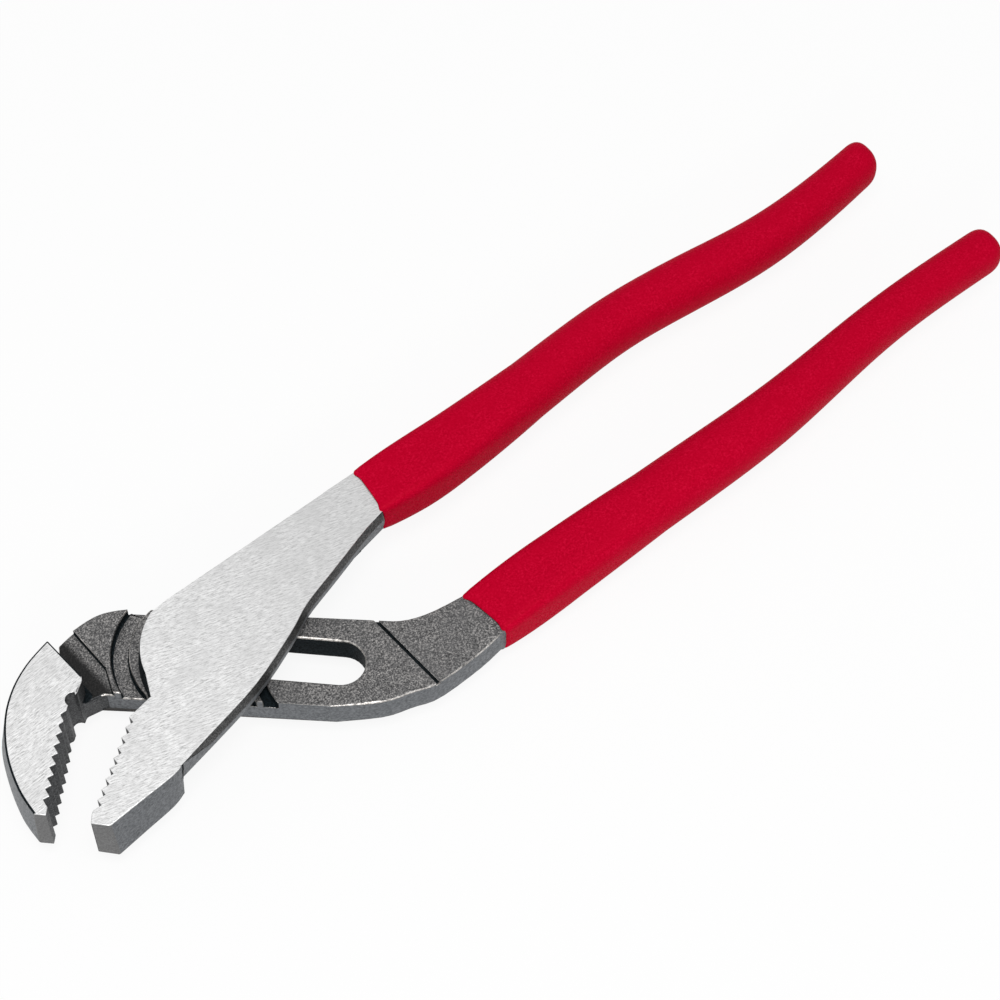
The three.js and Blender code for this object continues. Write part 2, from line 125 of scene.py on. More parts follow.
# How near counts as the same, when solids are cleaned and edges are told apart
SAME_POINT = 0.02 * MM
SAME_LEVEL = 0.02 * MM
TOP_SKIN = 0.01 * MM
SLIVER = 0.04 * MM
CUT_TOLERANCE = 0.001 * MM
FLAT = math.radians(0.6)
UNDER_LIP = 0.5 * MM
SMALLEST_SQUARE = 1e-12
SMALLEST_RUN = 1e-9

# Edge rounding, as widths of each kind of edge
WIDEST_EDGE = 1.3 * MM
TOP_RIM = 0.18 * MM
SCALED_RIM = 0.42 * MM
MATE_RIM = 0.38 * MM
BACK_RIM = 0.55 * MM
TOOTH_EDGE = 0.12 * MM
CREASE_EDGE = 0.06 * MM
LOW_STEP_EDGE = 0.22 * MM
CORNER = 0.3 * MM
SOFT_CORNER = 0.9 * MM
GROOVE_ROOT = 0.4 * MM
STEP_ROOT = 1.2 * MM
SHARP = math.radians(22)
ROOM_SHARE = 0.4
ASIDE_SHARE = 0.3
HOLLOW_REACH = 1.1
PIVOT_SHARP = math.radians(40)
STRAY = 0.3 * MM
STRAY_AT_STEP = 0.55 * MM

# Grips
LIP_THICKNESS = 0.55 * MM
LIP_DEPTH = 1.4 * MM
LIP_STRETCH = 1.3
LIP_STEPS = 6
LIP_ROOT = 1.5
DIP_SAG = 0.6 * MM
DIP_FADE = 9 * MM
ROOT_REACH = 3.5 * MM
ROOT_GAP = 0.8 * MM
SLEEVE_WALL = 1.7 * MM
INNER_END_GAP = 3 * MM
INNER_MOUTH_GAP = 6 * MM
RING_POINTS = 72
GRIP_RINGS = 150
INNER_RINGS = 36
FIRST_RING = 2
SMOOTH_RINGS = 6
TREND_RINGS = 6
MOUTH_INSET = 0.01 * MM
MOUTH_CORNER = 7.0
NECK_CORNER = 4.0
NECK_REACH = 22 * MM
OVAL_CORNER = 2.4
OVAL_REACH = 0.3
END_CORNER = 3.2
END_LENGTH = 5.2 * MM
END_STEPS = 14

# Camera, floor and light
NEAR_CLIP = 10 * MM
FLOOR_SIZE = 6
FLOOR_DROP = 0.02 * MM
FLOOR_TONE = 0.86
FLOOR_GLOW_SHARE = 0.9
ROOM_LIGHT = 0.5
LAMP_HEIGHT = 0.9


def along(angle):
    """Unit vectors along a jaw's slot direction and along its teeth."""
    return Vector((math.cos(angle), math.sin(angle), 0)), Vector((-math.sin(angle), math.cos(angle), 0))


REAR_U, REAR_V = along(SLOT_ANGLE)
FRONT_U, FRONT_V = along(SLOT_ANGLE + REST_SWING)


# Material building

class Graph:
    """A material's node tree with short helpers for the nodes used here."""

    def __init__(self, name):
        self.material = bpy.data.materials.new(name)
        self.material.use_nodes = True
        self.nodes = self.material.node_tree.nodes
        self.links = self.material.node_tree.links
        self.shader = self.nodes["Principled BSDF"]
        self.place = self.nodes.new("ShaderNodeTexCoord").outputs["Object"]

    def wire(self, source, socket):
        if isinstance(source, bpy.types.NodeSocket):
            self.links.new(source, socket)
        else:
            socket.default_value = source

    def grain(self, size, detail, roughness, turn=0.0, stretch=1.0):
        """Noise whose features are about size across and stretch times as long, turned about Z."""
        mapping = self.nodes.new("ShaderNodeMapping")
        mapping.vector_type = "TEXTURE"
        mapping.inputs["Rotation"].default_value = (0, 0, turn)
        mapping.inputs["Scale"].default_value = (size * stretch, size, size)
        self.links.new(self.place, mapping.inputs["Vector"])
        noise = self.nodes.new("ShaderNodeTexNoise")
        noise.inputs["Scale"].default_value = 1.0
        noise.inputs["Detail"].default_value = detail
        noise.inputs["Roughness"].default_value = roughness
        self.links.new(mapping.outputs["Vector"], noise.inputs["Vector"])
        return noise.outputs["Fac"]

    def ramp(self, value, stops):
        """A colour ramp: stops are (position, colour)."""
        node = self.nodes.new("ShaderNodeValToRGB")
        elements = node.color_ramp.elements
        while len(elements) < len(stops):
            elements.new(0.5)
        for element, (position, colour) in zip(elements, stops):
            element.position = position
            element.color = (*colour, 1)
        self.links.new(value, node.inputs["Fac"])
        return node.outputs["Color"]

    def levels(self, value, low, high, to_low=0.0, to_high=1.0):
        node = self.nodes.new("ShaderNodeMapRange")
        node.interpolation_type = "SMOOTHSTEP"
        node.inputs["From Min"].default_value = low
        node.inputs["From Max"].default_value = high
        node.inputs["To Min"].default_value = to_low
        node.inputs["To Max"].default_value = to_high
        self.links.new(value, node.inputs["Value"])
        return node.outputs["Result"]

    def mix(self, factor, first, second):
        node = self.nodes.new("ShaderNodeMix")
        node.data_type = "RGBA"
        self.wire(factor, node.inputs[0])
        self.wire(first if isinstance(first, bpy.types.NodeSocket) else (*first, 1), node.inputs[6])
        self.wire(second if isinstance(second, bpy.types.NodeSocket) else (*second, 1), node.inputs[7])
        return node.outputs[2]

    def math(self, operation, first, second):
        node = self.nodes.new("ShaderNodeMath")
        node.operation = operation
        self.wire(first, node.inputs[0])
        self.wire(second, node.inputs[1])
        return node.outputs[0]

    def along(self, direction):
        """How far a point lies along a direction of the tool's frame."""
        node = self.nodes.new("ShaderNodeVectorMath")
        node.operation = "DOT_PRODUCT"
        self.links.new(self.place, node.inputs[0])
        node.inputs[1].default_value = direction
        return node.outputs["Value"]

    def bump(self, height, distance, strength, below=None):
        node = self.nodes.new("ShaderNodeBump")
        node.inputs["Strength"].default_value = strength
        node.inputs["Distance"].default_value = distance
        self.links.new(height, node.inputs["Height"])
        if below is not None:
            self.links.new(below, node.inputs["Normal"])
        return node.outputs["Normal"]

    def finish(self, colour, roughness, normal, metallic=0.0, specular=0.5):
        self.wire(colour, self.shader.inputs["Base Color"])
        self.wire(roughness, self.shader.inputs["Roughness"])
        self.shader.inputs["Metallic"].default_value = metallic
        self.shader.inputs["Specular IOR Level"].default_value = specular
        self.links.new(normal, self.shader.inputs["Normal"])
        return self.material


def grey(value, warm=0.0):
    return (value * (1 + warm), value, value * (1 - warm))


def brushed_face(name, turn):
    """Ground steel: short fine streaks over a cloudy tone, with painted shade that darkens it towards the
    grip.
    """
    g = Graph(name)
    streak = g.grain(0.3 * MM, detail=3, roughness=0.7, turn=turn, stretch=6)
    fine = g.grain(0.16 * MM, detail=2, roughness=0.6, turn=turn, stretch=4)
    cloud = g.grain(6 * MM, detail=3, roughness=0.6)
    tone = g.ramp(streak, [(0.34, grey(0.32)), (0.5, grey(0.66)), (0.64, grey(0.94))])
    tone = g.mix(g.levels(fine, 0.4, 0.66, 0.0, 0.6), tone, grey(0.86))
    tone = g.mix(g.levels(cloud, 0.4, 0.66, 0.0, 0.4), tone, grey(0.58))
    # Painted shade: the face darkens towards the grip along X
    shade_towards_grip = g.levels(g.along(Vector((1, 0, 0))), -25 * MM, 50 * MM, 0.0, 0.5)
    tone = g.mix(shade_towards_grip, tone, grey(0.47))
    roughness = g.levels(streak, 0.25, 0.75, 0.42, 0.3)
    normal = g.bump(fine, 0.012 * MM, 0.5, g.bump(streak, 0.02 * MM, 0.5))
    return g.finish(tone, roughness, normal, metallic=1.0)


def blasted(name, dark, mid, light, size=0.45, depth=0.05, shade_line=None, metallic=0.8, specular=0.5):
    """Blasted forging: a coarse speckle of dark pits and light peaks, with painted shade near a line where
    one is given.
    """
    g = Graph(name)
    speck = g.grain(size * MM, detail=3, roughness=0.66)
    pits = g.grain(size * 2.3 * MM, detail=3, roughness=0.6)
    cloud = g.grain(7 * MM, detail=3, roughness=0.55)
    tone = g.ramp(speck, [(0.34, dark), (0.5, mid), (0.66, light)])
    tone = g.mix(g.levels(pits, 0.54, 0.74, 0.0, 0.4), tone, dark)
    tone = g.mix(g.levels(cloud, 0.4, 0.7, 0.0, 0.35), tone, mid)
    if shade_line is not None:
        point, normal, reach, clear = shade_line
        # Painted shade: nearly black near the line, fading out between reach and clear
        away = g.math("SUBTRACT", g.along(normal), point.dot(normal))
        tone = g.mix(g.levels(away, reach, clear, 0.94, 0.0), tone, grey(0.008))
    roughness = g.levels(speck, 0.3, 0.7, 0.62, 0.42)
    normal = g.bump(pits, depth * 1.6 * MM, 0.6, g.bump(speck, depth * MM, 0.9))
    return g.finish(tone, roughness, normal, metallic, specular)


def worn_edge(name, start, full):
    """Rubbed edge: bright warm steel where the blasting has worn off, dark where it hasn't."""
    g = Graph(name)
    wear = g.grain(2.6 * MM, detail=4, roughness=0.62)
    speck = g.grain(0.5 * MM, detail=3, roughness=0.6)
    bright = g.mix(g.levels(speck, 0.35, 0.7), grey(0.34, 0.06), grey(0.74, 0.04))
    tone = g.mix(g.levels(wear, start, full), grey(0.12, 0.03), bright)
    normal = g.bump(speck, 0.02 * MM, 0.6)
    return g.finish(tone, g.levels(wear, start, full, 0.55, 0.36), normal, metallic=0.85)


def turned_steel(name):
    """Oiled turned steel of the pivot set: fine rings about the pivot axis and dark oil film."""
    g = Graph(name)
    wave = g.nodes.new("ShaderNodeTexWave")
    wave.wave_type = "RINGS"
    wave.rings_direction = "Z"
    wave.inputs["Scale"].default_value = 1 / (1.6 * MM)
    wave.inputs["Distortion"].default_value = 1.2
    wave.inputs["Detail"].default_value = 2
    g.links.new(g.place, wave.inputs["Vector"])
    film = g.grain(3.2 * MM, detail=4, roughness=0.6)
    tone = g.mix(g.levels(wave.outputs["Fac"], 0.2, 0.8), grey(0.3), grey(0.42))
    tone = g.mix(g.levels(film, 0.42, 0.68, 0.0, 0.7), tone, grey(0.13, 0.05))
    normal = g.bump(wave.outputs["Fac"], 0.01 * MM, 0.5)
    return g.finish(tone, g.levels(film, 0.4, 0.7, 0.3, 0.46), normal, metallic=0.9)


def dipped_vinyl(name):
    """Dipped vinyl: satin red with faint mottling, a fine orange peel and a few rubbed spots."""
    g = Graph(name)
    mottle = g.grain(3.5 * MM, detail=3, roughness=0.55)
    peel = g.grain(0.42 * MM, detail=3, roughness=0.62)
    scuff = g.grain(1.0 * MM, detail=5, roughness=0.7, turn=math.radians(8), stretch=2)
    tone = g.ramp(peel, [
        (0.34, (0.41, 0.0, 0.015)),
        (0.52, (0.49, 0.0006, 0.021)),
        (0.67, (0.58, 0.004, 0.034)),
    ])
    tone = g.mix(g.levels(mottle, 0.4, 0.66, 0.0, 0.5), tone, (0.47, 0.0003, 0.019))
    tone = g.mix(g.levels(scuff, 0.62, 0.8, 0.0, 0.35), tone, (0.62, 0.02, 0.06))
    roughness = g.levels(peel, 0.3, 0.7, 0.5, 0.4)
    normal = g.bump(peel, 0.02 * MM, 0.6, g.bump(mottle, 0.05 * MM, 0.4))
    return g.finish(tone, roughness, normal, specular=0.015)


# Mesh building

def new_piece(name, mesh, node, body):
    """Adds a mesh as a piece that stands for a CAD node and rides on its body."""
    piece = bpy.data.objects.new(name, mesh)
    bpy.context.collection.objects.link(piece)
    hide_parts(node)
    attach(piece, body)
    return piece


def clean_copy(node, split=None):
    """The node's solid as a bmesh with whole flat faces, split by a plane where a face has a hole."""
    bm = bmesh.new()
    bm.from_mesh(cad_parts[node].data)
    bmesh.ops.remove_doubles(bm, verts=bm.verts, dist=SAME_POINT)
    if split is not None:
        every = bm.verts[:] + bm.edges[:] + bm.faces[:]
        halves = bmesh.ops.bisect_plane(
            bm, geom=every, dist=CUT_TOLERANCE, plane_co=(0, 0, 0), plane_no=split,
        )
        for part in halves["geom_cut"]:
            if isinstance(part, bmesh.types.BMEdge):
                part.seam = True
    bmesh.ops.dissolve_limit(bm, angle_limit=FLAT, verts=bm.verts, edges=bm.edges, delimit={"SEAM"})
    bmesh.ops.dissolve_degenerate(bm, dist=SLIVER, edges=bm.edges)
    bm.normal_update()
    return bm


def push_root(bm, root_x):
    """Carries the bare steel on under the grip's lip."""
    facing = [f for f in bm.faces if f.normal.x > LEVEL]
    ends = [f for f in facing if abs(f.calc_center_median().x - root_x) < SAME_LEVEL]
    grown = bmesh.ops.extrude_face_region(bm, geom=ends)
    moved = [v for v in grown["geom"] if isinstance(v, bmesh.types.BMVert)]
    bmesh.ops.translate(bm, verts=moved, vec=(ROOT_REACH, 0, 0))
    bmesh.ops.delete(bm, geom=[f for f in ends if f.is_valid], context="FACES")
    bm.normal_update()


def room_beside(edge):
    """How much room the edges that leave an edge's ends give its rounding."""
    span = (edge.verts[1].co - edge.verts[0].co).normalized()
    room = math.inf
    for vert in edge.verts:
        for other in vert.link_edges:
            way = other.other_vert(vert).co - vert.co
            aside = (way - span * way.dot(span)).length
            if other is not edge and aside > ASIDE_SHARE * way.length:
                room = min(room, aside)
    return room


def wall_height(edge):
    """Height of the lowest wall that meets an edge."""
    heights = []
    for face in edge.link_faces:
        if abs(face.normal.z) < WALL_SLOPE:
            levels = [v.co.z for v in face.verts]
            heights.append(max(levels) - min(levels))
    return min(heights, default=0.0)


def edge_level(edge):
    """Middle level of an edge and how far it rises."""
    z0, z1 = edge.verts[0].co.z, edge.verts[1].co.z
    return (z0 + z1) / 2, abs(z0 - z1)


def set_edges(bm, width_of):
    """Gives each sharp edge its rounding as a share of the widest; returns the hollow ones as segments."""
    layer = bm.edges.layers.float.new("bevel_weight_edge")
    hollows = []
    for edge in bm.edges:
        if len(edge.link_faces) != 2:
            continue
        bend = edge.calc_face_angle_signed(0.0)
        if abs(bend) < SHARP:
            continue
        width = min(width_of(edge, bend), ROOM_SHARE * room_beside(edge))
        edge[layer] = width / WIDEST_EDGE
        upright = edge_level(edge)[1] > UPRIGHT_RISE
        if bend < 0 and width > 0 and not upright:
            hollows.append((edge.verts[0].co.copy(), edge.verts[1].co.copy(), width * HOLLOW_REACH))
    return hollows


def round_edges(name, bm, materials, worn, segments=3):
    """Turns the bmesh into a mesh whose weighted edges are rounded, with the rounding in material worn."""
    mesh = bpy.data.meshes.new(name)
    bm.to_mesh(mesh)
    bm.free()
    for material in materials:
        mesh.materials.append(material)
    mesh.polygons.foreach_set("use_smooth", [True] * len(mesh.polygons))
    holder = bpy.data.objects.new(name + "_holder", mesh)
    bpy.context.collection.objects.link(holder)
    bevel = holder.modifiers.new("edges", "BEVEL")
    bevel.limit_method = "WEIGHT"
    bevel.width = WIDEST_EDGE
    bevel.segments = segments
    bevel.use_clamp_overlap = False
    bevel.material = worn
    bevel.loop_slide = False
    normals = holder.modifiers.new("normals", "WEIGHTED_NORMAL")
    normals.keep_sharp = True
    depsgraph = bpy.context.evaluated_depsgraph_get()
    rounded = bpy.data.meshes.new_from_object(holder.evaluated_get(depsgraph))
    rounded.name = name
    bpy.data.objects.remove(holder)
    return rounded


def pull_in(mesh, solid, reach_at):
    """Puts corners that the rounding threw off the solid back on it."""
    bm = bmesh.new()
    bm.from_mesh(solid)
    tree = BVHTree.FromBMesh(bm)
    bm.free()
    for vert in mesh.vertices:
        place, _, _, distance = tree.find_nearest(vert.co)
        if distance > reach_at(vert.co):
            vert.co = place


def straighten(mesh):
    """Gives level faces their own normal at every corner, so that no rounding shades them."""
    normals = [corner.vector.copy() for corner in mesh.corner_normals]
    for face in mesh.polygons:
        if abs(face.normal.z) > LEVEL:
            for corner in face.loop_indices:
                normals[corner] = face.normal.copy()
    mesh.normals_split_custom_set(normals)


def near_segment(point, start, end, reach):
    """Whether a point lies within reach of a straight segment."""
    span = end - start
    share = max(0.0, min(1.0, (point - start).dot(span) / max(span.length_squared, SMALLEST_SQUARE)))
    return (start + span * share - point).length < reach


def finish_rounding(mesh, hollows, finish_of):
    """Rounded inner corners get painted shade; the other roundings take their finish by place."""
    for face in mesh.polygons:
        if face.material_index == WORN:
            hollow = any(near_segment(face.center, *segment) for segment in hollows)
            face.material_index = DARK if hollow else finish_of(face)


def across(co, u, v):
    """A point's place along a jaw's slot and along its teeth."""
    return co.dot(u), co.dot(v)


# Materials of the forgings

FACE, WALL, DARK, WORN, NOSE, PLATE, SCUFF, BAND, TOOTH = range(9)

# Painted shade darkens the plate towards the foot of the rear jaw's step
STEP_FOOT = REAR_U * (REAR_TOOTH_LINE + 2 * MM) + REAR_V * (-11.8 * MM)
STEP_WAY = Vector((0.998, 0.088, 0)).normalized()

WALLS = blasted(
    "forged_wall", (0.1, 0.106, 0.112), (0.15, 0.158, 0.168), (0.19, 0.198, 0.21), size=0.6, depth=0.02,
)
# Near-black scale, also used as painted shade in grooves, the slot, steep inner walls and rounded inner
# corners
DARKS = blasted(
    "scale_and_painted_shade", grey(0.004), (0.009, 0.013, 0.0155), (0.018, 0.025, 0.029), size=0.4, depth=0.03,
    metallic=0.0, specular=0.02,
)
EDGES = worn_edge("rubbed_edge", 0.34, 0.54)
SCUFFS = worn_edge("scuffed_edge", 0.55, 0.75)
NOSES = blasted("ground_nose", grey(0.125), grey(0.155), grey(0.19), size=0.35, depth=0.012)
PLATES = blasted(
    "blasted_forging", grey(0.03), (0.115, 0.114, 0.115), (0.38, 0.366, 0.355), size=0.34,
    shade_line=(STEP_FOOT, STEP_WAY, 3.2 * MM, 5.4 * MM),
)
# Darker copy of the forged wall for the upward-leaning drafted faces: painted shade
BANDS = blasted("shaded_band_wall", grey(0.01), grey(0.04), grey(0.12), size=0.35)
TEETH = blasted("oiled_teeth", grey(0.02), (0.045, 0.047, 0.05), (0.085, 0.088, 0.092), size=0.4, depth=0.02)
FORGED = [WALLS, DARKS, EDGES, NOSES, PLATES, SCUFFS, BANDS, TEETH]
FRONT_FACE = brushed_face("ground_front", math.radians(-14))
REAR_FACE = brushed_face("ground_rear", math.radians(5))
STEEL = turned_steel("turned_steel")
VINYL = dipped_vinyl("red_dipped_vinyl")


def rear_half():
    """The forging underneath, with its finishes told apart by place and its edges rounded."""
    root_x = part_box("rear_grip")[0].x
    bm = clean_copy("rear_half", REAR_V)
    push_root(bm, root_x - SEAT_GAP)

    def in_notches(u):
        return REAR_NOTCHES[0] < u < REAR_NOTCHES[1]

    def in_throat(u, v):
        return in_notches(u) and REAR_THROAT[0] < v < REAR_THROAT[1]

    def in_slot(u, v):
        inside = SLOT_SPAN[0] - SLOT_MARGIN < u < SLOT_SPAN[1] + SLOT_MARGIN
        return inside and abs(v) < SLOT_HALF + SLOT_SKIN

    def finish_of(face):
        centre = face.calc_center_median()
        u, v = across(centre, REAR_U, REAR_V)
        n = face.normal
        lowest = min(x.co.z for x in face.verts)
        if n.z > FACING_UP and centre.z > TOP - TOP_SKIN:
            return FACE
        if n.z > LEANING_UP:
            floor = MATE - centre.z
            # Deep groove floors and crease floors get painted shade
            dark_floor = (u > 0 and floor > DEEP_GROOVE) or CREASE_FLOOR[0] < floor < CREASE_FLOOR[1]
            return DARK if dark_floor else PLATE
        if n.dot(REAR_V) < -FACING_NOSE and v < REAR_NOSE_WALL:
            return NOSE
        if in_notches(u) and v < REAR_TEETH_WALL:
            return TOOTH
        # The slot and the steep walls above the back get painted shade
        if in_slot(u, v) or (abs(n.z) < STEEP and lowest > BACK + MM):
            return DARK
        return WALL

    for face in bm.faces:
        face.material_index = finish_of(face)

    def width_of(edge, bend):
        level, rise = edge_level(edge)
        middle = (edge.verts[0].co + edge.verts[1].co) / 2
        u, v = across(middle, REAR_U, REAR_V)
        if middle.x > root_x + UNDER_LIP:
            return 0.0
        if abs(level - TOP) < SAME_LEVEL:
            return TOP_RIM if in_notches(u) and v < REAR_TEETH_RIM else SCALED_RIM
        on_tooth = REAR_NOTCHES[0] < u < REAR_TOOTH_LINE + TOOTH_SKIN and v < REAR_TEETH_EDGES
        if rise > TOOTH_HEIGHT and on_tooth:
            return TOOTH_EDGE
        if rise > CORNER_RISE and in_throat(u, v):
            return SOFT_CORNER
        height = wall_height(edge)
        if rise < LEVEL_RISE and height < CREASE_HEIGHT:
            return CREASE_EDGE
        if rise < LEVEL_RISE and height < LOW_STEP_HEIGHT:
            return LOW_STEP_EDGE
        if bend < 0:
            return STEP_ROOT if u < REAR_STEP_END and height > STEP_HEIGHT else GROOVE_ROOT
        if abs(level - MATE) < SAME_LEVEL:
            return MATE_RIM
        if abs(level - BACK) < SAME_LEVEL:
            return 0.0 if in_throat(u, v) else BACK_RIM
        return CORNER

    def rounding_of(face):
        u, v = across(face.center, REAR_U, REAR_V)
        if face.center.z > TOP - REAR_TOP_BAND:
            return FACE if abs(u - REAR_TOOTH_LINE) < 2 * TOOTH_DEPTH else DARK
        if v < REAR_NOSE_RIM:
            return NOSE
        beside_throat = abs(face.normal.z) < SHEER and u < REAR_STEP_END
        if v < REAR_THROAT[1] and (beside_throat or in_notches(u)):
            return TOOTH
        low_rim = face.center.z > MATE - LOW_RIM_BAND and face.normal.z > SHEER
        if face.center.z > MATE - RIM_BAND or low_rim:
            towards_nose = face.normal.dot(REAR_V) < RUBBED_TOWARDS_NOSE
            towards_jaw = face.normal.dot(REAR_U) < RUBBED_TOWARDS_JAW
            return WORN if towards_nose or towards_jaw else PLATE
        return SCUFF

    def stray_at(co):
        if co.x > root_x - UNDER_LIP:
            return math.inf
        return STRAY_AT_STEP if co.dot(REAR_U) < REAR_STRAY_END else STRAY

    hollows = set_edges(bm, width_of)
    mesh = round_edges("rear_forging", bm, [REAR_FACE, *FORGED], WORN)
    pull_in(mesh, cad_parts["rear_half"].data, stray_at)
    finish_rounding(mesh, hollows, rounding_of)
    straighten(mesh)
    return new_piece("rear_forging", mesh, "rear_half", "rear")


def front_half():
    """The forging on top, with its polished face, dark walls and rounded edges."""
    root_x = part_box("front_grip")[0].x
    bm = clean_copy("front_half", FRONT_V)
    push_root(bm, root_x - SEAT_GAP)
    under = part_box("front_half")[0].z

    def in_teeth(u, v):
        return u < FRONT_TEETH_END and v < FRONT_TEETH

    def finish_of(face):
        centre = face.calc_center_median()
        u, v = across(centre, FRONT_U, FRONT_V)
        n = face.normal
        if n.z > FACING_UP and centre.z > TOP - TOP_SKIN:
            return FACE
        if n.dot(FRONT_V) < -FRONT_FACING_NOSE and v < FRONT_NOSE_WALL:
            return NOSE
        if in_teeth(u, v):
            return TOOTH
        # Walls by the heel get painted shade
        if u < FRONT_HEEL_U and v > FRONT_HEEL_V and abs(n.z) < WALL_SLOPE:
            return DARK
        # Upward-leaning drafted walls take the darker copy, painted shade
        if DRAFT < n.z < WALL_SLOPE and v > FRONT_BAND_END:
            return BAND
        return WALL

    for face in bm.faces:
        face.material_index = finish_of(face)

    def width_of(edge, bend):
        level, rise = edge_level(edge)
        middle = (edge.verts[0].co + edge.verts[1].co) / 2
        u, v = across(middle, FRONT_U, FRONT_V)
        if middle.x > root_x + UNDER_LIP:
            return 0.0
        if abs(level - TOP) < SAME_LEVEL:
            return TOP_RIM
        if rise > TOOTH_HEIGHT and in_teeth(u, v):
            return TOOTH_EDGE
        if bend < 0:
            return GROOVE_ROOT
        if abs(level - under) < SAME_LEVEL:
            return BACK_RIM
        return CORNER

    def rounding_of(face):
        u, v = across(face.center, FRONT_U, FRONT_V)
        if face.center.z > TOP - FRONT_TOP_BAND:
            return FACE
        if in_teeth(u, v):
            return DARK
        return NOSE if v < FRONT_NOSE_RIM else SCUFF

    def stray_at(co):
        return STRAY if co.x < root_x - UNDER_LIP else math.inf

    hollows = set_edges(bm, width_of)
    mesh = round_edges("front_forging", bm, [FRONT_FACE, *FORGED], WORN)
    pull_in(mesh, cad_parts["front_half"].data, stray_at)
    finish_rounding(mesh, hollows, rounding_of)
    straighten(mesh)
    return new_piece("front_forging", mesh, "front_half", "front")


def pivot_piece(name, node, body, rounding):
    """A turned piece of the pivot set with its sharp edges broken."""
    bm = clean_copy(node)
    set_edges(bm, lambda edge, bend: rounding if bend > PIVOT_SHARP else 0.0)
    mesh = round_edges(name, bm, [STEEL], 0, segments=2)
    mesh.set_sharp_from_angle(angle=PIVOT_SHARP)
    return new_piece(name, mesh, node, body)


# Grips

def cross_sections(node, places):
    """Middle and half sizes across Y and Z of a node's solid, cut at each place along X."""
    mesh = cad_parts[node].data
    points = np.empty(len(mesh.vertices) * 3)
    mesh.vertices.foreach_get("co", points)
    points = points.reshape(-1, 3)
    pairs = np.empty(len(mesh.edges) * 2, dtype=np.int64)
    mesh.edges.foreach_get("vertices", pairs)
    ends = points[pairs.reshape(-1, 2)]
    rows = []
    for x in places:
        start, end = ends[:, 0], ends[:, 1]
        crossing = (start[:, 0] - x) * (end[:, 0] - x) <= 0
        crossing &= np.abs(start[:, 0] - end[:, 0]) > SMALLEST_RUN
        a, b = start[crossing], end[crossing]
        share = (x - a[:, 0]) / (b[:, 0] - a[:, 0])
        cut = a + (b - a) * share[:, None]
        low, high = cut[:, 1:].min(axis=0), cut[:, 1:].max(axis=0)
        rows.append([*(low + high) / 2, *(high - low) / 2])
    return np.array(rows)


def smoothed(rows, reach):
    """Rows averaged with their neighbours, with the ends carried on straight."""
    kernel = np.exp(-0.5 * (np.arange(-3 * reach, 3 * reach + 1) / reach) ** 2)
    kernel /= kernel.sum()
    pad = 3 * reach
    result = np.empty_like(rows)
    for column in range(rows.shape[1]):
        values = rows[:, column]
        head = 2 * values[0] - values[pad:0:-1]
        tail = 2 * values[-1] - values[-2:-pad - 2:-1]
        result[:, column] = np.convolve(np.concatenate([head, values, tail]), kernel, mode="valid")
    return result


